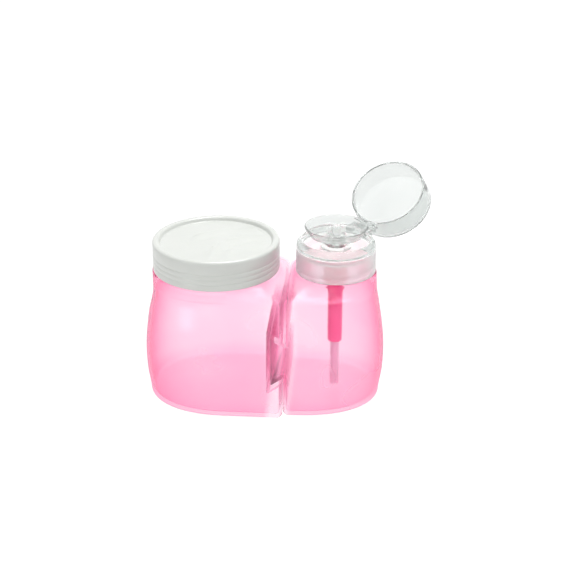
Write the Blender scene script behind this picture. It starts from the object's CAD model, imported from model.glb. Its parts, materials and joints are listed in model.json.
# %% [markdown]
# # A salon set: cotton jar and remover pump bottle
# Two blow-moulded pink containers lock side by side. The wide one holds cotton pads under a white
# screw lid. The narrow one holds remover, and its pump lifts a little into a clear press cup.
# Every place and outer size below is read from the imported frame, so the looks sit on the mechanics.

# %% Load the frame
import json
import math

import bmesh
import bpy
from mathutils import Matrix, Vector


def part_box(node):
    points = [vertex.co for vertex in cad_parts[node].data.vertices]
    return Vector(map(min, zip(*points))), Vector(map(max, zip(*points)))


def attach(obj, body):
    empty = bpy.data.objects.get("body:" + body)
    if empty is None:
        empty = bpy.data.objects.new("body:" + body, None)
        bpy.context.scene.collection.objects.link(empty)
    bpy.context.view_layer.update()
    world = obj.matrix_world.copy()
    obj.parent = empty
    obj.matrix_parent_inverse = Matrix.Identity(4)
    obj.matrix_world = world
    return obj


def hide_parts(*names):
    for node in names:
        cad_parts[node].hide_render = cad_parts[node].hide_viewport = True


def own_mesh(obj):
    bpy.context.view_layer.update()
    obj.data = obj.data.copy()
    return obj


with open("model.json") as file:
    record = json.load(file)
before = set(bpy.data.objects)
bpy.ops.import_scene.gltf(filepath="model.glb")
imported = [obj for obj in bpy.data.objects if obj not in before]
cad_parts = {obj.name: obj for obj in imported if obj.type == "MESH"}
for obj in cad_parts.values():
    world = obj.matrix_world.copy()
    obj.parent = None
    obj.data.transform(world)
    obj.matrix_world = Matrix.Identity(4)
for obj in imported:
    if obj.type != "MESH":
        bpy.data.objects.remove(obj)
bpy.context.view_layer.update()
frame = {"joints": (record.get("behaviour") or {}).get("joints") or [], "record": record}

MM = 0.001
joints = {joint["name"]: joint for joint in frame["joints"]}


# %% [markdown]
# ## Main lines
# The frame gives each part's box. From those boxes come the lines that everything hangs on: the
# seam where the two containers meet, the upright axis of each neck, and the hinge pin of the cap.

# %% Main lines of the set
CLEARANCE = 0.3 * MM


def axis_of(node):
    low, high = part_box(node)
    return Vector(((low.x + high.x) / 2, (low.y + high.y) / 2, 0))


jar_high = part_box("jar_body")[1]
bottle_low, bottle_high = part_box("bottle_body")
seam_x = jar_high.x + CLEARANCE / 2
jar_axis = axis_of("jar_lid")
pump_axis = axis_of("pump_collar")
pin = Vector(joints["cap_hinge"]["pos_m"])
pin_reach = (pin - pump_axis).xy.length
pin_heading = math.atan2(pin.y - pump_axis.y, pin.x - pump_axis.x)
print(f"seam at x = {seam_x / MM:.2f} mm, pin {pin_reach / MM:.1f} mm from the pump axis")


# %% [markdown]
# ## Camera
# The camera looks down a little on the set, as someone at a table does, and from far enough away
# that the round rims stay calm ellipses. It aims at a point beside the seam. Light crosses many thin
# clear walls here, so a ray may be bent far more often than Blender allows at first.

# %% Camera
CAMERA_AZIMUTH = math.radians(3.98)
CAMERA_ELEVATION = math.radians(24.64)
CAMERA_DISTANCE = 713.2 * MM
CAMERA_NEAR = 0.01
SENSOR = 36
LENS = 80.7
AIM_BESIDE_SEAM = 1.76 * MM
AIM_HEIGHT = 59.78 * MM
RAY_BOUNCES = 48
aim = Vector((seam_x + AIM_BESIDE_SEAM, 0, AIM_HEIGHT))
outward = Vector((
    math.sin(CAMERA_AZIMUTH) * math.cos(CAMERA_ELEVATION),
    -math.cos(CAMERA_AZIMUTH) * math.cos(CAMERA_ELEVATION),
    math.sin(CAMERA_ELEVATION),
))
camera = bpy.data.objects.new("camera", bpy.data.cameras.new("camera"))
bpy.context.scene.collection.objects.link(camera)
camera.data.sensor_width = SENSOR
camera.data.lens = LENS
camera.data.clip_start = CAMERA_NEAR
camera.location = aim + outward * CAMERA_DISTANCE
camera.rotation_euler = (-outward).to_track_quat("-Z", "Y").to_euler()
bpy.context.scene.camera = camera
bpy.context.scene.view_settings.view_transform = "Standard"
bpy.context.scene.cycles.max_bounces = RAY_BOUNCES
bpy.context.scene.cycles.transmission_bounces = RAY_BOUNCES
print("camera at", [round(value / MM) for value in camera.location], "mm")


# %% [markdown]
# ## Shader arithmetic
# A material is a small calculation. Wrapping a socket in a class with the usual operators lets the
# calculation be written as an expression. Numbers that don't change stay plain Python numbers.

# %% A socket that behaves like a number
class Wire:
    """The output socket of a node, with arithmetic."""

    def __init__(self, tree, socket):
        self.tree = tree
        self.socket = socket

    def maths(self, operation, *values):
        node = self.tree.nodes.new("ShaderNodeMath")
        node.operation = operation
        for entry, value in zip(node.inputs, values):
            join(self.tree, entry, value)
        return Wire(self.tree, node.outputs[0])

    def clamped(self):
        """The value held between 0 and 1."""
        return self.maths("MINIMUM", self.maths("MAXIMUM", self, 0.0), 1.0)

    def __add__(self, other):
        return self.maths("ADD", self, other)

    def __sub__(self, other):
        return self.maths("SUBTRACT", self, other)

    def __rsub__(self, other):
        return self.maths("SUBTRACT", other, self)

    def __mul__(self, other):
        return self.maths("MULTIPLY", self, other)

    def __pow__(self, other):
        return self.maths("POWER", self, other)

    __radd__ = __add__
    __rmul__ = __mul__


def join(tree, entry, value):
    """Links a wire to an input socket, or sets the socket's own value."""
    if isinstance(value, Wire):
        tree.links.new(value.socket, entry)
    elif isinstance(value, (tuple, list)) and len(value) == 3 and len(entry.default_value) == 4:
        entry.default_value = (*value, 1.0)
    else:
        entry.default_value = value


class Finish:
    """A material under construction."""

    def __init__(self, name):
        self.material = bpy.data.materials.new(name)
        self.material.use_nodes = True
        self.tree = self.material.node_tree
        self.tree.nodes.clear()
        self.output = self.tree.nodes.new("ShaderNodeOutputMaterial")

    def node(self, kind, settings=None, sockets=None, out=0):
        """Any node: its type, its settings, then its sockets' values or links."""
        node = self.tree.nodes.new(kind)
        for name, value in (settings or {}).items():
            setattr(node, name, value)
        for name, value in (sockets or {}).items():
            join(self.tree, node.inputs[name], value)
        return Wire(self.tree, node.outputs[out])

    def place(self):
        return self.node("ShaderNodeTexCoord", out="Object")

    def along(self, axis, vector):
        """One of a vector's three numbers: axis is 0, 1 or 2."""
        return self.node("ShaderNodeSeparateXYZ", sockets={"Vector": vector}, out=axis)

    def noise(self, scale, detail=3.0, roughness=0.5):
        return self.node(
            "ShaderNodeTexNoise",
            sockets={"Vector": self.place(), "Scale": scale, "Detail": detail, "Roughness": roughness},
        )

    def bump(self, height, strength, distance):
        return self.node(
            "ShaderNodeBump",
            sockets={"Height": height, "Strength": strength, "Distance": distance},
        )

    def tint(self, amount, first, second):
        """A colour that runs from first to second with amount."""
        return self.node(
            "ShaderNodeMix",
            {"data_type": "RGBA"},
            {"Factor": amount, 6: first, 7: second},
            out=2,
        )

    def surface(self, sockets):
        shader = self.node("ShaderNodeBsdfPrincipled", sockets=sockets)
        self.tree.links.new(shader.socket, self.output.inputs["Surface"])
        return self

    def depth(self, colour, density):
        """Colour that deepens with the thickness of plastic that light goes through."""
        body = self.node("ShaderNodeVolumeAbsorption", sockets={"Color": colour, "Density": density})
        self.tree.links.new(body.socket, self.output.inputs["Volume"])
        return self


# %% [markdown]
# ## Frosted pink wall
# The containers are dyed polyethylene with a satin skin. Seen square on, the wall is pale. Seen
# along the wall, light crosses much more plastic and turns a deep pink. Most of that is a tint that
# grows as the surface turns away, with a little absorption in the volume. Three masks steer it: the
# foot is deeper in colour, because its plastic is thicker; level faces such as the floor of a
# container are paler; and so is the lock, where two flat walls and the dovetail lie one behind the
# other. A fine noise roughens the skin, because blow-moulded plastic is never quite even.

# %% Frosted pink
LOCK_REACH = 6.5 * MM
FOOT_REACH = 26 * MM
RIM_REACH = 7 * MM
MASK_PLATEAU = 1.3
lock_middle = seam_x - 3 * MM


def frosted_pink():
    finish = Finish("frosted_pink")
    cloud = finish.noise(24.0, 2.0)
    grain = finish.noise(2600.0, 2.0)
    flow = finish.noise(240.0, 2.0)
    facing = finish.node("ShaderNodeLayerWeight", sockets={"Blend": 0.5}, out=1)
    height = finish.along(2, finish.place())
    foot = (1.0 - height * (1 / FOOT_REACH)).clamped()
    rim = (MASK_PLATEAU - height * (1 / RIM_REACH)).clamped()
    off = (finish.along(0, finish.place()) - lock_middle) * (1 / LOCK_REACH)
    lock = (MASK_PLATEAU - off * off).clamped()
    upward = finish.along(2, finish.node("ShaderNodeTexCoord", out="Normal"))
    level = upward * upward
    turned_away = facing ** 1.8 * (1.0 - lock * 0.85) * (1.0 - level * 0.55)
    skin = finish.tint(cloud, (1.0, 0.72, 0.85), (1.0, 0.95, 0.97))
    pale = finish.tint(foot * 0.2 + rim * 0.2, skin, (1.0, 0.42, 0.66))
    wall = finish.tint(lock, pale, (1.0, 0.90, 0.95))
    return finish.surface({
        "Base Color": finish.tint(turned_away, wall, (1.0, 0.09, 0.36)),
        "Roughness": cloud * 0.1 + 0.21,
        "Transmission Weight": 1.0,
        "IOR": 1.05,
        "Coat Weight": (0.9 - lock * 0.85) * (1.0 - facing ** 2.0 * 0.85),
        "Coat Roughness": 0.28,
        "Normal": finish.bump(grain * 0.4 + flow, 0.1, 0.0003),
    }).depth((1.0, 0.10, 0.48), 20.0)


# %% [markdown]
# ## Other plastics
# The lid is opaque white polypropylene. The collar and the inner pump parts are undyed
# polypropylene, which is milky. The cap, hinge ring and press cup are clear polystyrene: they are
# polished, so they get almost no roughness, and a faint grey-green. The pump's cylinder and dip tube
# are dyed, the sealing disc is foamed, and the spring is drawn steel wire.

# %% Whites, naturals and clears
def white_gloss():
    finish = Finish("white_gloss")
    peel = finish.noise(420.0, 2.0)
    wear = finish.noise(70.0, 4.0, 0.6)
    return finish.surface({
        "Base Color": finish.tint(wear, (0.60, 0.62, 0.59), (0.655, 0.67, 0.64)),
        "Roughness": wear * 0.12 + 0.27,
        "Subsurface Weight": 0.15,
        "Subsurface Radius": (0.004, 0.004, 0.0035),
        "Subsurface Scale": 0.5,
        "Coat Weight": 0.2,
        "Coat Roughness": 0.15,
        "Normal": finish.bump(peel, 0.10, 0.0003),
    })


def natural_frosted():
    finish = Finish("natural_frosted")
    cloud = finish.noise(90.0, 3.0)
    grain = finish.noise(2200.0, 2.0)
    return finish.surface({
        "Base Color": finish.tint(cloud, (0.95, 0.96, 0.955), (0.99, 0.995, 0.99)),
        "Roughness": cloud * 0.12 + 0.32,
        "Transmission Weight": 0.66,
        "IOR": 1.15,
        "Coat Weight": 0.3,
        "Coat Roughness": 0.12,
        "Normal": finish.bump(grain, 0.10, 0.0002),
    }).depth((0.70, 0.78, 0.75), 30.0)


def natural_plastic():
    finish = Finish("natural_plastic")
    cloud = finish.noise(160.0, 3.0)
    return finish.surface({
        "Base Color": finish.tint(cloud, (0.97, 0.98, 0.97), (0.995, 1.0, 0.995)),
        "Roughness": cloud * 0.1 + 0.22,
        "Transmission Weight": 0.6,
        "IOR": 1.15,
        "Normal": finish.bump(cloud, 0.05, 0.0002),
    }).depth((0.78, 0.84, 0.81), 15.0)


def clear_plastic():
    finish = Finish("clear_plastic")
    ripple = finish.noise(55.0, 2.0)
    return finish.surface({
        "Base Color": finish.tint(ripple, (0.74, 0.765, 0.755), (0.81, 0.825, 0.815)),
        "Roughness": ripple * 0.03 + 0.02,
        "Transmission Weight": 0.92,
        "IOR": 1.25,
        "Normal": finish.bump(ripple, 0.05, 0.0006),
    }).depth((0.30, 0.40, 0.36), 15.0)


def pink_moulded():
    finish = Finish("pink_moulded")
    cloud = finish.noise(120.0, 3.0)
    return finish.surface({
        "Base Color": finish.tint(cloud, (1.0, 0.06, 0.30), (1.0, 0.13, 0.38)),
        "Roughness": cloud * 0.12 + 0.25,
        "Transmission Weight": 0.12,
        "IOR": 1.45,
        "Normal": finish.bump(cloud, 0.05, 0.0002),
    })


def tube_plastic():
    finish = Finish("tube_plastic")
    cloud = finish.noise(120.0, 3.0)
    return finish.surface({
        "Base Color": finish.tint(cloud, (1.0, 0.72, 0.85), (1.0, 0.82, 0.91)),
        "Roughness": cloud * 0.12 + 0.25,
        "Transmission Weight": 0.6,
        "IOR": 1.2,
        "Normal": finish.bump(cloud, 0.05, 0.0002),
    })


def foam_white():
    finish = Finish("foam_white")
    cells = finish.node(
        "ShaderNodeTexVoronoi",
        sockets={"Vector": finish.place(), "Scale": 1500.0},
    )
    return finish.surface({
        "Base Color": finish.tint(cells, (0.80, 0.81, 0.79), (0.93, 0.93, 0.92)),
        "Roughness": cells * 0.1 + 0.75,
        "Normal": finish.bump(cells, 0.25, 0.0002),
    })


def spring_steel():
    finish = Finish("spring_steel")
    drawn = finish.noise(900.0, 3.0)
    return finish.surface({
        "Base Color": finish.tint(drawn, (0.60, 0.61, 0.63), (0.78, 0.79, 0.80)),
        "Metallic": 1.0,
        "Roughness": drawn * 0.15 + 0.15,
        "Normal": finish.bump(drawn, 0.05, 0.0001),
    })


finishes = {
    make.__name__: make().material
    for make in (
        white_gloss, natural_frosted, natural_plastic, clear_plastic,
        pink_moulded, tube_plastic, foam_white, spring_steel,
    )
}
finishes["pink_frosted"] = frosted_pink().material
print("finishes:", sorted(finishes))


# %% [markdown]
# ## From points to pieces
# Every piece below ends in the same way: a list of points and faces becomes a mesh, its smooth
# faces are shaded smooth while true edges stay crisp, it gets its finish, and it takes the place of
# its plain frame part. One function does all of that. Lamps shine through the clear pieces: they are
# told to cast no shadow, since a ray tracer otherwise treats clear plastic as opaque to a lamp.

# %% Make and settle a piece
EDGE_ANGLE = math.radians(38)
slots = {entry["node"]: entry["material_slot"] for entry in frame["record"]["subparts"]}
body_of_node = {
    node: body
    for body, nodes in frame["record"]["behaviour"]["bodies"].items()
    for node in nodes
}


def mesh_object(name, points, faces):
    mesh = bpy.data.meshes.new(name)
    mesh.from_pydata([tuple(point) for point in points], [], faces)
    mesh.validate()
    build = bmesh.new()
    build.from_mesh(mesh)
    bmesh.ops.recalc_face_normals(build, faces=build.faces)
    build.to_mesh(mesh)
    build.free()
    piece = bpy.data.objects.new(name, mesh)
    bpy.context.scene.collection.objects.link(piece)
    return piece


def stacked(name, rows):
    """A skin through rows with the same number of points each, closed by its first and last row."""
    count = len(rows[0])
    points = [point for row in rows for point in row]
    faces = []
    for r in range(len(rows) - 1):
        for i in range(count):
            a, b = r * count + i, r * count + (i + 1) % count
            faces.append((a, b, b + count, a + count))
    faces.append(tuple(range(count)))
    faces.append(tuple(len(points) - count + i for i in range(count)))
    return mesh_object(name, points, faces)


def settle(piece, node):
    """Shades, paints and mounts a finished piece in place of its frame part."""
    mesh = piece.data
    mesh.shade_smooth()
    mesh.set_sharp_from_angle(angle=EDGE_ANGLE)
    slot = slots[node]
    mesh.materials.clear()
    mesh.materials.append(finishes[slot])
    piece.visible_shadow = slot != "clear_plastic"
    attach(piece, body_of_node[node])
    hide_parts(node)
    print(f"{piece.name}: {len(mesh.vertices)} points")
    return piece


def combine(piece, tool, operation):
    """Joins or cuts a piece with a tool, and uses the tool up."""
    step = piece.modifiers.new("combine", "BOOLEAN")
    step.operation = operation
    step.solver = "EXACT"
    step.object = tool
    bpy.context.view_layer.update()
    shown = piece.evaluated_get(bpy.context.evaluated_depsgraph_get())
    result = bpy.data.meshes.new_from_object(shown)
    piece.modifiers.clear()
    piece.data = result
    bpy.data.objects.remove(tool)
    return piece


# %% [markdown]
# ## Soft corners
# Moulded plastic has no knife edges: a mould is rounded wherever plastic has to flow. An outline is
# written as a few corner points, each with the radius that it is rounded by, and this function
# replaces the corner by a short curve that meets both sides.

# %% Round the corners of an outline
def softened(corners, steps=4):
    """Corner points (x, y) or (x, y, rounding), as a loop, with each corner rounded off."""
    outline = []
    count = len(corners)
    for i, corner in enumerate(corners):
        here = Vector(corner[:2])
        rounding = corner[2] if len(corner) > 2 else 0
        if not rounding:
            outline.append(here)
            continue
        before = Vector(corners[i - 1][:2]) - here
        after = Vector(corners[(i + 1) % count][:2]) - here
        reach = min(rounding, 0.48 * before.length, 0.48 * after.length)
        start = here + before.normalized() * reach
        end = here + after.normalized() * reach
        for k in range(steps + 1):
            t = k / steps
            outline.append(start * (1 - t) ** 2 + here * 2 * t * (1 - t) + end * t * t)
    return outline


# %% [markdown]
# ## Turned pieces
# Lids, collars, tubes and cups are all round, so each is an outline spun about its axis. The outline
# is in millimetres: the distance from the axis, and the height above the underside of the frame
# part. Where an outline starts and ends on the axis, the piece is closed there by a single point.

# %% Spin an outline
ROUND = 144
ON_AXIS = 1e-6


def spun(name, corners, axis, foot, shape=None, steps=4, around=ROUND):
    """A turned piece. shape may move a point: it takes angle, radius and height and gives radius
    and height, in millimetres from the axis and the foot."""
    outline = softened(corners, steps)
    closed_on_axis = corners[0][0] == 0 and corners[-1][0] == 0
    points, rings, faces = [], [], []
    for radius, height in outline:
        if radius < ON_AXIS:
            points.append(axis + Vector((0, 0, foot + height * MM)))
            rings.append([len(points) - 1] * around)
            continue
        ring = []
        for k in range(around):
            angle = 2 * math.pi * k / around
            r, h = shape(angle, radius, height) if shape else (radius, height)
            ring.append(len(points))
            out = Vector((math.cos(angle), math.sin(angle), 0)) * r * MM
            points.append(axis + out + Vector((0, 0, foot + h * MM)))
        rings.append(ring)
    pairs = list(zip(rings, rings[1:]))
    if not closed_on_axis:
        pairs.append((rings[-1], rings[0]))
    for lower, upper in pairs:
        for k in range(around):
            face = [lower[k], lower[(k + 1) % around], upper[(k + 1) % around], upper[k]]
            distinct = list(dict.fromkeys(face))
            if len(distinct) > 2:
                faces.append(distinct)
    return mesh_object(name, points, faces)


# %% [markdown]
# ## Screw threads
# A thread is a ridge that climbs one pitch a turn. Instead of a separate coil stuck to the wall, the
# wall itself swells where the ridge passes, which is how a moulded thread is. The function gives the
# height of the ridge at any angle and height on the wall. Jar, lid, bottle and collar all use it.

# %% Thread relief
PITCH = 4.2
THREAD_ROOT = 0.75
THREAD_CREST = 0.4
THREAD_FADES = 12
ON_WALL = 0.01
THREAD_STEP = 0.3
NECK_THREAD = {"start": 74.9, "turns": 1.25, "angle": 0.0}
CLOSURE_THREAD = {"start": 74.4, "turns": 1.1, "angle": math.pi * (1 - 2 / PITCH)}


def smooth(t):
    """A soft step from 0 to 1, as t goes from 0 to 1."""
    t = min(1, max(0, t))
    return t * t * (3 - 2 * t)


def ridge(thread, angle, height):
    """How much of the full thread height stands here, from 0 to 1. Heights are above the base.
    A thread fades in and out over a twelfth of a turn."""
    lap = ((angle - thread["angle"]) / (2 * math.pi)) % 1
    best = 0
    while lap <= thread["turns"]:
        off = abs(height - (thread["start"] + PITCH * lap))
        swell = min(1, max(0, (THREAD_ROOT - off) / (THREAD_ROOT - THREAD_CREST)))
        fade = min(1, THREAD_FADES * lap, THREAD_FADES * (thread["turns"] - lap))
        best = max(best, swell * fade)
        lap += 1
    return smooth(best)


def threaded(thread, wall, crest, foot):
    """A shape function for spun(): the wall of that radius swells to the crest along the thread."""
    def shape(angle, radius, height):
        if abs(radius - wall) > ON_WALL:
            return radius, height
        return wall + (crest - wall) * ridge(thread, angle, height + foot / MM), height
    return shape


def wall_points(radius, start, end):
    """Closely spaced outline points up or down a threaded wall."""
    count = max(2, round(abs(end - start) / THREAD_STEP))
    return [(radius, start + (end - start) * k / count) for k in range(1, count)]


# %% [markdown]
# ## Blow-moulded containers
# Each container is a stack of outlines. An outline has a flat wall at the seam, small upright corner
# roundings, a front that runs straight for a while, and a full round outer end: a superellipse. The
# width, depth and roundness change smoothly with height. Above the shoulder the outline melts into
# the circle of the neck. The hollow is the same stack drawn a wall's thickness further in. Each row
# of sizes below is a height, a width from the seam, half a depth, and the power of the superellipse.

# %% Sizes of the two containers
WALL = 1.6
BASE_ROUND = 2.5
SEAM_CORNER = 3.0
SHOULDER_Z = 62.5
RING_Z = 71.6
jar = {
    "side": -1,
    "axis": (seam_x - CLEARANCE / 2 - jar_axis.x) / MM,
    "straight": 30,
    "ring": 35.0,
    "neck": 31.2,
    "mouth": 29.4,
    "crest": 32.3,
    "top": jar_high.z / MM,
    "rows": [
        (2.5, 76.4, 38.0, 2.25), (16, 78.0, 38.2, 2.3), (31, 78.0, 37.6, 2.35),
        (48, 75.9, 35.2, 2.4), (59, 73.4, 32.6, 2.45), (62.5, 72.9, 31.6, 2.48),
    ],
}
bottle = {
    "side": 1,
    "axis": (pump_axis.x - seam_x - CLEARANCE / 2) / MM,
    "straight": 6,
    "ring": 22.2,
    "neck": 17.8,
    "mouth": 15.6,
    "crest": 18.9,
    "top": bottle_high.z / MM,
    "rows": [
        (2.5, 51.4, 34.6, 2.2), (16, 53.3, 35.0, 2.25), (29, 53.6, 34.6, 2.3),
        (42, 52.4, 33.2, 2.4), (55, 50.4, 31.0, 2.5), (62.5, 49.1, 29.6, 2.57),
    ],
}


# %% Outline of a container at one height
WALL_STEPS = 8
CORNER_STEPS = 10
OUTER_STEPS = 48


def between(rows, z):
    """Width, depth and roundness at a height, on a smooth curve through the rows."""
    k = 0
    while k < len(rows) - 2 and rows[k + 1][0] < z:
        k += 1
    t = min(1, max(0, (z - rows[k][0]) / (rows[k + 1][0] - rows[k][0])))
    sizes = []
    for column in (1, 2, 3):
        p0, p1, p2, p3 = (rows[min(len(rows) - 1, max(0, k + i))][column] for i in (-1, 0, 1, 2))
        v0, v1 = (p2 - p0) / 2, (p3 - p1) / 2
        sizes.append(
            (2 * p1 - 2 * p2 + v0 + v1) * t ** 3 + (3 * p2 - 3 * p1 - 2 * v0 - v1) * t ** 2 + v0 * t + p1
        )
    return sizes


def plan(body, z, inset):
    """The whole outline at a height, as (distance from the seam, depth) pairs, front first."""
    width, depth, power = between(body["rows"], z)
    far, half = width - inset, depth - inset
    corner = max(SEAM_CORNER - inset, 1)
    front = [(inset, -(half - corner) * i / WALL_STEPS) for i in range(WALL_STEPS)]
    for i in range(CORNER_STEPS + 1):
        angle = math.pi / 2 * i / CORNER_STEPS
        front.append((inset + corner * (1 - math.cos(angle)), -half + corner * (1 - math.sin(angle))))
    for i in range(OUTER_STEPS + 1):
        angle = math.pi / 2 * i / OUTER_STEPS
        u = body["straight"] + (far - body["straight"]) * math.sin(angle) ** (2 / power)
        v = 0 if i == OUTER_STEPS else half * math.cos(angle) ** (2 / power)
        front.append((u, -v))
    return front + [(u, -v) for u, v in reversed(front[1:-1])]


# %% Stack the outlines
BASE_STEPS = 10
WALL_LEVELS = 22
HOLLOW_DROP = 1
LIP = 0.5
LIP_EASE = 0.15
OPENING_CUT = 2
RING_HEIGHT = 0.5
RING_EASE = 0.3
NECK_FOOT = 1
EDGE_WIDTH = 2.2
EDGE_RISE = 3.2
EDGE_TURN = 1.3
EDGE_STEPS = 8
EDGE_LIMIT = 0.35
SLOPE_STEPS = 6
SLOPE_POWER = 0.8


def shoulder_stages():
    """Turn of the edge rounding, then share of the slope climbed, up to the ring."""
    edge = [(EDGE_TURN * k / EDGE_STEPS, 0) for k in range(1, EDGE_STEPS + 1)]
    return edge + [(EDGE_TURN, k / SLOPE_STEPS) for k in range(1, SLOPE_STEPS)]


def container_skin(name, body, inset):
    """The outside of a container, or its hollow when inset is the wall."""
    hollow = inset > 0
    side, top = body["side"], body["top"]
    seam_wall = seam_x + side * CLEARANCE / 2
    centre = Vector((seam_wall + side * body["axis"] * MM, 0, 0))
    shoulder = SHOULDER_Z - (HOLLOW_DROP if hollow else 0)
    ring_z = RING_Z - inset
    neck = body["mouth"] if hollow else body["neck"]
    brim_radius = neck if hollow else body["ring"]

    def lay(outline, z):
        return [Vector((seam_wall + side * u * MM, v * MM, z * MM)) for u, v in outline]

    rows = []
    for i in range(BASE_STEPS + 1):
        angle = math.pi / 2 * i / BASE_STEPS
        pull = BASE_ROUND * (1 - math.sin(angle))
        z = inset + BASE_ROUND * (1 - math.cos(angle))
        rows.append(lay(plan(body, BASE_ROUND, inset + pull), z))
    lowest = inset + BASE_ROUND
    for i in range(1, WALL_LEVELS + 1):
        z = lowest + (shoulder - lowest) * i / WALL_LEVELS
        rows.append(lay(plan(body, z, inset), z))
    edge = rows[-1]
    headings = [(point - centre).xy.normalized() for point in edge]

    def circle(radius, z):
        """A row round the neck, at the same headings from its axis as the edge's points."""
        lift = Vector((0, 0, z * MM))
        return [(centre.xy + heading * radius * MM).to_3d() + lift for heading in headings]

    def threaded_circle(z):
        """A row round the neck that swells where the thread passes."""
        row = []
        for heading in headings:
            stands = ridge(NECK_THREAD, math.atan2(heading.y, heading.x), z)
            out = heading * (neck + (body["crest"] - neck) * stands) * MM
            row.append((centre.xy + out).to_3d() + Vector((0, 0, z * MM)))
        return row

    brim = circle(brim_radius, ring_z)
    for turn, climb in shoulder_stages():
        start = EDGE_RISE * math.sin(turn)
        z = shoulder + start + (ring_z - shoulder - start) * climb ** SLOPE_POWER
        row = []
        for outer, inner in zip(edge, brim):
            across = max((inner - outer).xy.length / MM, 0.01)
            rounding = min(EDGE_LIMIT, EDGE_WIDTH / across) * (1 - math.cos(turn))
            share = rounding + (1 - rounding) * climb
            row.append(outer.lerp(inner, share).xy.to_3d() + Vector((0, 0, z * MM)))
        rows.append(row)
    rows.append(brim)
    if hollow:
        rows.append(circle(neck, top - LIP))
        rows.append(circle(neck + LIP_EASE, top - LIP_EASE))
        rows.append(circle(neck + LIP, top))
        rows.append(circle(neck + LIP, top + OPENING_CUT))
        return stacked(name, rows)
    rows.append(circle(brim_radius, ring_z + RING_HEIGHT))
    rows.append(circle(brim_radius - RING_EASE, ring_z + RING_HEIGHT + RING_EASE))
    neck_foot = ring_z + NECK_FOOT
    rise = top - LIP - neck_foot
    levels = round(rise / THREAD_STEP)
    for i in range(levels + 1):
        rows.append(threaded_circle(neck_foot + rise * i / levels))
    rows.append(circle(neck - LIP_EASE, top - LIP_EASE))
    rows.append(circle(neck - LIP, top))
    return stacked(name, rows)


# %% [markdown]
# ## The dovetail lock
# The bottle carries a tongue that is wider at its tip than at its root, and the jar has a groove of
# the same shape, so the two slide together from the front or the back and can't be pulled apart
# sideways. In a blown wall the groove shows inside as a bulge, and the tongue is hollow.

# %% Dovetail outlines
DOVETAIL_Z = 32.8
DOVETAIL_ROOT = 10.0
DOVETAIL_TIP = 14.5
DOVETAIL_PLAY = 0.4
TONGUE_HALF = 34.3
TONGUE_EASE = 0.6
PAST_SEAM = 4
GROOVE_HALF = 60
tongue_depth = (seam_x - bottle_low.x) / MM


def dovetail(grow, start, rounding):
    """The tongue's section, grown outwards, and drawn on past the seam as far as start."""
    slope = (DOVETAIL_TIP - DOVETAIL_ROOT) / tongue_depth
    spread = grow * math.hypot(1, slope)
    tip = tongue_depth + grow
    root_half = DOVETAIL_ROOT + spread
    tip_half = root_half + slope * tip
    seam = seam_x / MM
    return softened([
        (seam + start, DOVETAIL_Z - root_half), (seam + start, DOVETAIL_Z + root_half),
        (seam, DOVETAIL_Z + root_half, rounding), (seam - tip, DOVETAIL_Z + tip_half, rounding),
        (seam - tip, DOVETAIL_Z - tip_half, rounding), (seam, DOVETAIL_Z - root_half, rounding),
    ])


def prism(name, outline, start, end, round_off=0):
    """An outline in the XZ plane drawn out along Y, in millimetres, with its end edges eased."""
    middle = sum(outline, Vector((0, 0))) / len(outline)
    rows = []
    stations = [(start, round_off), (start + round_off, 0), (end - round_off, 0), (end, round_off)]
    for y, pull in stations if round_off else [(start, 0), (end, 0)]:
        rows.append([])
        for point in outline:
            inward = (middle - point).normalized() * pull
            rows[-1].append(Vector((point.x + inward.x, y, point.y + inward.y)) * MM)
    return stacked(name, rows)


# %% Cut and join the two containers
jar_shell = container_skin("cotton_jar", jar, 0)
groove = prism("groove", dovetail(DOVETAIL_PLAY, PAST_SEAM, 0.8), -GROOVE_HALF, GROOVE_HALF)
combine(jar_shell, groove, "DIFFERENCE")
jar_hollow = container_skin("jar_hollow", jar, WALL)
bulge = prism("bulge", dovetail(DOVETAIL_PLAY + WALL, PAST_SEAM, 1.6), -GROOVE_HALF, GROOVE_HALF)
combine(jar_hollow, bulge, "DIFFERENCE")
combine(jar_shell, jar_hollow, "DIFFERENCE")
settle(jar_shell, "jar_body")

bottle_shell = container_skin("remover_bottle", bottle, 0)
tongue = prism("tongue", dovetail(0, WALL / 2, 0.8), -TONGUE_HALF, TONGUE_HALF, TONGUE_EASE)
combine(bottle_shell, tongue, "UNION")
combine(bottle_shell, container_skin("bottle_hollow", bottle, WALL), "DIFFERENCE")
inner_half = TONGUE_HALF - WALL
tongue_hollow = prism("tongue_hollow", dovetail(-WALL, 2 * WALL, 0.6), -inner_half, inner_half)
combine(bottle_shell, tongue_hollow, "DIFFERENCE")
settle(bottle_shell, "bottle_body")


# %% [markdown]
# ## The white lid
# The lid's rim is a fat round bead. Inside it the top is sunk, and the sunk disc carries a soft
# relief of drifting waves, like wind-blown snow. The relief is real height in the mesh: each wave
# has one gentle side and one steep side, and they fade out before they reach the rim.

# %% Wave relief
RELIEF_RADIUS = 29.4
RELIEF_HEIGHT = 1.4
WAVES = (
    {"x": -16, "y": 0, "climb": 18, "reach": 10},
    {"x": -5, "y": -22, "climb": 29, "reach": 8},
    {"x": 4, "y": -20, "climb": 21, "reach": 10},
)
WAVE_WIDTH = 9
WAVE_STEEP = 1.8
WAVE_LEAD = 8
WAVE_END = 30
WAVE_TAIL = 10
RELIEF_FADE = 3


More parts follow.
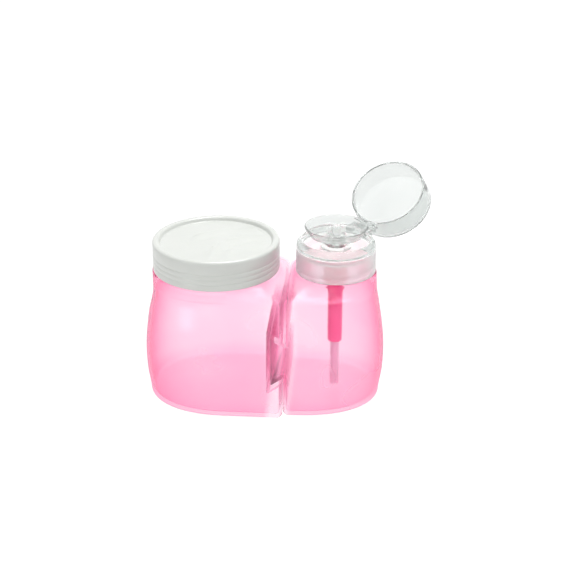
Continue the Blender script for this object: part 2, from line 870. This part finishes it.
def dune(x, y):
    """Height of the relief, from 0 to 1, at a point of the disc in millimetres."""
    total = 0
    for wave in WAVES:
        run = x - wave["x"]
        if run <= 0:
            continue
        flat = math.exp(-run / wave["reach"])
        crest = wave["y"] + wave["climb"] * (1 - flat)
        across = (y - crest) / math.hypot(1, wave["climb"] / wave["reach"] * flat)
        rise = smooth((across + WAVE_WIDTH) / WAVE_WIDTH)
        fall = 1 - smooth(across / WAVE_STEEP)
        along = smooth(run / WAVE_LEAD) * smooth((WAVE_END - x) / WAVE_TAIL)
        total = max(total, rise * fall * along)
    return total * smooth((RELIEF_RADIUS - math.hypot(x, y)) / RELIEF_FADE)


# %% Lid, thread and liner
LID_IN = 32.9
LID_THREAD_CREST = 31.8
LID_CEILING = 12.8
LID_PANEL = 14.3
PANEL_RADIUS = 29.2
PANEL_RINGS = 60
LINES = (3.6, 6.4, 9.2)
LINE_HALF = 0.28
LINE_DEPTH = 0.14
lid_low, lid_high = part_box("jar_lid")
lid_radius = (lid_high.x - lid_low.x) / 2 / MM
lid_top = (lid_high.z - lid_low.z) / MM


def side_lines():
    """The skirt's outer wall, upwards, with shallow moulded lines."""
    wall = []
    for line in LINES:
        wall += [
            (lid_radius, line - LINE_HALF), (lid_radius - LINE_DEPTH, line), (lid_radius, line + LINE_HALF),
        ]
    return wall


def panel_rings():
    """Close rings across the sunk disc, so that the relief has points to lift."""
    shares = [1 - k / PANEL_RINGS for k in range(PANEL_RINGS)]
    return [(PANEL_RADIUS * share, LID_PANEL) for share in shares] + [(0, LID_PANEL)]


def lid_shape(angle, radius, height):
    if abs(height - LID_PANEL) < ON_WALL and radius < RELIEF_RADIUS:
        lift = dune(radius * math.cos(angle), radius * math.sin(angle))
        return radius, height + RELIEF_HEIGHT * lift
    return lid_thread(angle, radius, height)


lid_thread = threaded(CLOSURE_THREAD, LID_IN, LID_THREAD_CREST, lid_low.z)
lid = spun("white_lid", [
    (0, LID_CEILING),
    (LID_IN, LID_CEILING, 0.4),
    *wall_points(LID_IN, LID_CEILING - 0.6, 0.4),
    (LID_IN, 0, 0.2),
    (lid_radius, 0, 0.5),
    *side_lines(),
    (lid_radius, lid_top, 2.3),
    (31.0, lid_top, 1.6),
    (30.2, LID_PANEL, 0.7),
    *panel_rings(),
], jar_axis, lid_low.z, lid_shape)
settle(lid, "jar_lid")

liner_low, liner_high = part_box("jar_lid_liner")
liner_radius = (liner_high.x - liner_low.x) / 2 / MM
liner_thickness = (liner_high.z - liner_low.z) / MM
liner = spun("lid_liner", [
    (0, 0), (27.5, 0, 0.2), (27.9, 0.25, 0.2), (31.6, 0.25, 0.2), (liner_radius, 0.1, 0.2),
    (liner_radius, liner_thickness, 0.2), (0, liner_thickness),
], jar_axis, liner_low.z)
settle(liner, "jar_lid_liner")


# %% [markdown]
# ## Collar and hinge ring
# The collar screws on to the bottle. Its skirt is plain and milky, so the pink neck glows through
# it. A clear ring snaps on top: its shoulder is domed, so the shut cap sits on it like a lid on a
# pan, and two ears at the back hold the hinge pin.

# %% Collar
COLLAR_R = 21.7
COLLAR_IN = 19.6
COLLAR_THREAD_CREST = 18.25
COLLAR_HOLE = 7.6
DECK = 1.3
collar_low, collar_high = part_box("pump_collar")
collar_top = (collar_high.z - collar_low.z) / MM
deck_under = collar_top - DECK
collar = spun("screw_collar", [
    (COLLAR_IN, 0, 0.2),
    (COLLAR_R, 0, 0.5),
    (COLLAR_R - 0.05, 2.2), (COLLAR_R - 0.17, 2.45), (COLLAR_R - 0.05, 2.7),
    (COLLAR_R - 0.2, collar_top, 0.6),
    (COLLAR_HOLE, collar_top, 0.2),
    (COLLAR_HOLE, deck_under, 0.2),
    (COLLAR_IN, deck_under, 0.5),
    *wall_points(COLLAR_IN, deck_under - 0.7, 0.4),
], pump_axis, collar_low.z, threaded(CLOSURE_THREAD, COLLAR_IN, COLLAR_THREAD_CREST, collar_low.z))
settle(collar, "pump_collar")


# %% Hinge helpers
BARREL = 2.2
BARREL_HALF = 3.0
EAR_INNER = 3.3
EAR_OUTER = 6.8
PIN_RADIUS = 1.0
PIN_PLAY = 0.3
PIN_SIDES = 32


def hinge_matrix():
    """From hinge drawing space to the frame: x runs inward from the pin, z up from the pin."""
    return (
        Matrix.Translation(pump_axis)
        @ Matrix.Rotation(pin_heading + math.pi, 4, "Z")
        @ Matrix.Translation((-pin_reach, 0, pin.z))
    )


def hinge_plate(name, corners, start, end, round_off=0.35):
    plate = prism(name, softened(corners), start, end, round_off)
    plate.data.transform(hinge_matrix())
    return plate


def hinge_rod(name, radius, half):
    turns = [2 * math.pi * k / PIN_SIDES for k in range(PIN_SIDES)]
    section = [Vector((math.cos(angle), math.sin(angle))) * radius for angle in turns]
    rod = prism(name, section, -half, half, 0.15)
    rod.data.transform(hinge_matrix())
    return rod


def barrel_arc(start, end, steps=12):
    """Outline points round the barrel, from one angle to another in degrees."""
    turn = [math.radians(start + (end - start) * k / steps) for k in range(steps + 1)]
    return [(BARREL * math.cos(angle), BARREL * math.sin(angle)) for angle in turn]


# %% Hinge ring
ring_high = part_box("hinge_ring")[1]
RING_R = 21.4
ring_foot = collar_high.z + CLEARANCE
ring_top = (ring_high.z - ring_foot) / MM
hinge_ring = spun("hinge_ring_clear", [
    (18.3, 0, 0.2),
    (RING_R, 0, 0.3),
    (RING_R, 1.3, 0.5),
    (20.9, 3.0, 1.2),
    (19.6, ring_top - 0.3, 0.5),
    (19.1, ring_top, 0.2),
    (18.55, ring_top, 0.2),
], pump_axis, ring_foot)
for side in (-1, 1):
    near, far = sorted((side * EAR_INNER, side * EAR_OUTER))
    ear = hinge_plate(f"ear_{near}", [(8.4, -0.9), (8.4, 1.2), *barrel_arc(90, 270)], near, far)
    combine(hinge_ring, ear, "UNION")
combine(hinge_ring, hinge_rod("pin_hole", PIN_RADIUS + PIN_PLAY, EAR_OUTER - 0.6), "DIFFERENCE")
settle(hinge_ring, "hinge_ring")


# %% [markdown]
# ## The flip cap
# The cap is drawn shut, where its rim is level and easy to place above the hinge ring. Then it is
# swung open about the pin by the joint's whole range. Its arm and pin are one moulding with it.

# %% Flip cap
CAP_R = 21.2
CAP_BULGE = 21.8
CAP_WALL = 1.3
CAP_HEIGHT = 14.3
cap_foot = ring_high.z + CLEARANCE
cap = spun("flip_cap_clear", [
    (0, CAP_HEIGHT - CAP_WALL),
    (CAP_BULGE - CAP_WALL, CAP_HEIGHT - CAP_WALL, 2.0),
    (CAP_BULGE - CAP_WALL, CAP_HEIGHT - 4.2, 0.6),
    (CAP_R - CAP_WALL + 0.25, 1.6, 0.6),
    (CAP_R - CAP_WALL + 0.25, 0, 0.25),
    (CAP_R, 0, 0.3),
    (CAP_BULGE, CAP_HEIGHT - 3.6, 2.0),
    (CAP_BULGE, CAP_HEIGHT, 2.6),
    (0, CAP_HEIGHT),
], pump_axis, cap_foot, steps=7)
arm = hinge_plate("arm", [
    (5.6, 2.6), (7.2, 3.9), (7.2, 8.2), (6.0, 8.2, 1.0), (2.6, 5.0, 1.0), *barrel_arc(130, 320),
], -BARREL_HALF, BARREL_HALF)
combine(cap, arm, "UNION")
combine(cap, hinge_rod("pin", PIN_RADIUS, EAR_OUTER - 1), "UNION")
hinge_axis = Vector(joints["cap_hinge"]["axis"])
open_angle = math.radians(joints["cap_hinge"]["range_deg"][1])
swing = Matrix.Translation(pin) @ Matrix.Rotation(-open_angle, 4, hinge_axis) @ Matrix.Translation(-pin)
cap.data.transform(swing)
settle(cap, "flip_cap")


# %% [markdown]
# ## Press cup and pump
# Pressing the cup drives the stem and piston down, and remover wells up through the nozzle into the
# cup. The cup is thin and clear with a rolled rim. Under it are the lock bush, the cylinder on its
# flange, and the dip tube. They are seen only through walls, but each is a whole, true piece. The
# outlines are sections through the axis: radius, height, and the rounding of the corner there.

# %% Turned pump pieces
def pump_piece(node, name, corners, around=96):
    """A turned pump piece on the pump axis. Heights are above the base of the whole set."""
    return settle(spun(name, corners, pump_axis, 0.0, around=around), node)


cup_low, cup_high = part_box("press_cup")
cup_top = cup_high.z / MM
cup_radius = (cup_high.x - cup_low.x) / 2 / MM
pump_piece("press_cup", "press_cup_clear", [
    (4.05, 88.9, 0.2), (5.1, 88.9, 0.2), (5.1, 93.2, 0.3), (14.2, 93.2, 0.5), (14.9, 93.8, 0.5),
    (16.4, 97.2, 0.8), (cup_radius, cup_top - 0.7, 0.3), (cup_radius, cup_top, 0.35),
    (cup_radius - 0.9, cup_top, 0.35), (15.5, 97.2, 0.8), (14.1, 94.6, 0.6), (13.3, 94.2, 0.6),
    (3.0, 94.2, 0.2), (3.0, 93.2, 0.2), (4.05, 93.2, 0.2),
], ROUND)
nozzle_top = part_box("spout_nozzle")[1].z / MM
pump_piece("spout_nozzle", "nozzle", [
    (2.8, 89.3, 0.15), (3.75, 89.3, 0.2), (3.75, 92.9, 0.3), (2.7, 92.9, 0.2), (2.7, 97.4, 0.8),
    (2.1, nozzle_top, 0.3), (0.7, nozzle_top, 0.2), (0.7, 95.0), (2.0, 94.4), (2.0, 91.3), (2.8, 91.3),
])
pump_piece("pump_stem", "stem", [(1.3, 69, 0.15), (2.5, 69, 0.2), (2.5, 91, 0.2), (1.3, 91, 0.15)])
pump_piece("piston", "piston_seal", [
    (2.8, 73.9), (4.3, 73.9, 0.3), (5.1, 73.3, 0.1), (5.15, 74.3, 0.3), (4.4, 75.3, 0.4),
    (4.4, 77.0, 0.4), (5.15, 78.0, 0.3), (5.1, 78.8, 0.1), (4.3, 78.2, 0.3), (2.8, 78.2),
])
pump_piece("lock_bush", "bush", [
    (2.85, 80.4, 0.2), (6.4, 80.4, 0.2), (7.1, 81.2, 0.3), (7.1, 86.5, 0.1), (8.4, 86.5, 0.2),
    (8.4, 87.7, 0.4), (5.6, 87.7, 0.3), (5.6, 81.6, 0.4), (2.85, 81.6, 0.2),
])
pump_piece("neck_gasket", "gasket", [
    (15.9, 82.3, 0.15), (18.7, 82.3, 0.15), (18.7, 83.1, 0.15), (15.9, 83.1, 0.15),
])
pump_piece("pump_cylinder", "cylinder", [
    (2.75, 30.5, 0.2), (3.9, 30.5, 0.3), (4.0, 35.5, 0.3), (4.0, 61.5, 2.0), (6.7, 66.5, 2.0),
    (6.7, 78.6, 0.8), (8.7, 79.8, 0.6), (8.7, 83.4, 0.6), (18.6, 83.4, 0.3), (18.6, 84.6, 0.3),
    (7.4, 84.6, 0.3), (7.4, 80.9, 0.3), (6.7, 80.1, 0.2), (5.45, 80.1, 0.3), (5.45, 67.6, 1.0),
    (3.0, 62.5, 1.0), (3.0, 37.6, 0.4), (1.2, 36.2, 0.2), (1.2, 35.0), (2.75, 35.0),
])
pump_piece("ball_retainer", "retainer", [
    (1.1, 40.3, 0.15), (2.7, 40.3, 0.2), (2.7, 41.8, 0.2), (2.2, 42.3, 0.2), (1.1, 42.3, 0.15),
], 64)
pump_piece("dip_tube", "tube", [
    (1.6, 3.6, 0.15), (2.4, 3.6, 0.15), (2.4, 34.7, 0.15), (1.6, 34.7, 0.15),
], 64)


# %% [markdown]
# ## Spring and valve balls
# The return spring is wire wound on a mandrel, with its turns closer together at the two ends. The
# centre line is a helix whose climb slows near the ends. Each ball is a half circle spun about the
# pump axis, centred on the frame's own ball.

# %% Spring
WIRE = 0.3
COIL = 2.1
TURNS = 9
WIRE_STEPS = 40
WIRE_SIDES = 10
END_CROWDING = 0.7
spring_low, spring_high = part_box("pump_spring")


def spring_point(t):
    rise = t - END_CROWDING * math.sin(2 * math.pi * t) / (2 * math.pi)
    angle = 2 * math.pi * TURNS * t
    low = spring_low.z + WIRE * MM
    high = spring_high.z - WIRE * MM
    return pump_axis + Vector((
        COIL * MM * math.cos(angle),
        COIL * MM * math.sin(angle),
        low + (high - low) * rise,
    ))


def wound_wire(name):
    rows = []
    steps = TURNS * WIRE_STEPS
    for i in range(steps + 1):
        centre = spring_point(i / steps)
        out = (centre - pump_axis).xy.to_3d().normalized()
        section = []
        for k in range(WIRE_SIDES):
            angle = 2 * math.pi * k / WIRE_SIDES
            section.append(centre + (out * math.cos(angle) + Vector((0, 0, math.sin(angle)))) * WIRE * MM)
        rows.append(section)
    return stacked(name, rows)


spring = settle(wound_wire("return_spring"), "pump_spring")
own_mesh(spring)


# %% Valve balls
BALL_R = 1.6
BALL_STEPS = 24


def valve_ball(node, name):
    low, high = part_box(node)
    centre = (low.z + high.z) / 2 / MM
    half = [(0, centre - BALL_R)]
    for k in range(1, BALL_STEPS):
        angle = math.pi * k / BALL_STEPS
        half.append((BALL_R * math.sin(angle), centre - BALL_R * math.cos(angle)))
    half.append((0, centre + BALL_R))
    pump_piece(node, name, half, 48)


valve_ball("inlet_ball", "lower_ball")
valve_ball("outlet_ball", "upper_ball")


# %% [markdown]
# ## Studio
# A pale floor and soft light. The floor gives off light of its own, so that it stays pale. The
# surroundings are white too, but light matt surfaces less than they look, so that the white lid
# keeps its shading. A long lamp overhead draws the bright line on the shoulders, a second one fills
# in from the front, and a small one to the front left makes the soft spot in the middle of the jar.

# %% Floor
FLOOR_HALF = 3.0
FLOOR_Z = -0.2 * MM
floor = mesh_object("floor", [
    (x * FLOOR_HALF, y * FLOOR_HALF, FLOOR_Z) for x, y in ((-1, -1), (1, -1), (1, 1), (-1, 1))
], [(0, 1, 2, 3)])
floor_finish = Finish("floor_pale")
floor_finish.surface({
    "Base Color": (0.1, 0.1, 0.1),
    "Roughness": 0.9,
    "Specular IOR Level": 0.0,
    "Emission Color": (1.0, 1.0, 1.0),
    "Emission Strength": 1.0,
})
floor.data.materials.append(floor_finish.material)


# %% Light
WHITE = (1.0, 1.0, 1.0, 1.0)
DIFFUSE_CUT = 0.6
MIDDLE = Vector((0, 0, 0.05))
world = bpy.data.worlds.new("studio")
bpy.context.scene.world = world
world.use_nodes = True
tree = world.node_tree
sky = tree.nodes["Background"]
sky.inputs["Color"].default_value = WHITE
diffuse = Wire(tree, tree.nodes.new("ShaderNodeLightPath").outputs["Is Diffuse Ray"])
join(tree, sky.inputs["Strength"], 1.0 - diffuse * DIFFUSE_CUT)


def softbox(name, place, size, power):
    """A rectangular lamp that looks at the middle of the set."""
    lamp = bpy.data.lights.new(name, "AREA")
    lamp.shape = "RECTANGLE"
    lamp.size, lamp.size_y = size
    lamp.energy = power
    lamp_object = bpy.data.objects.new(name, lamp)
    bpy.context.scene.collection.objects.link(lamp_object)
    lamp_object.location = place
    lamp_object.rotation_euler = (MIDDLE - Vector(place)).to_track_quat("-Z", "Y").to_euler()
    print(f"{name}: {power} W")


softbox("overhead", place=(0.15, 0.18, 1.0), size=(0.8, 0.24), power=8.3)
softbox("front_top", place=(0.10, -0.50, 0.87), size=(0.9, 0.14), power=1.8)
softbox("front_left", place=(-0.60, -0.68, 0.12), size=(0.27, 0.27), power=1.0)
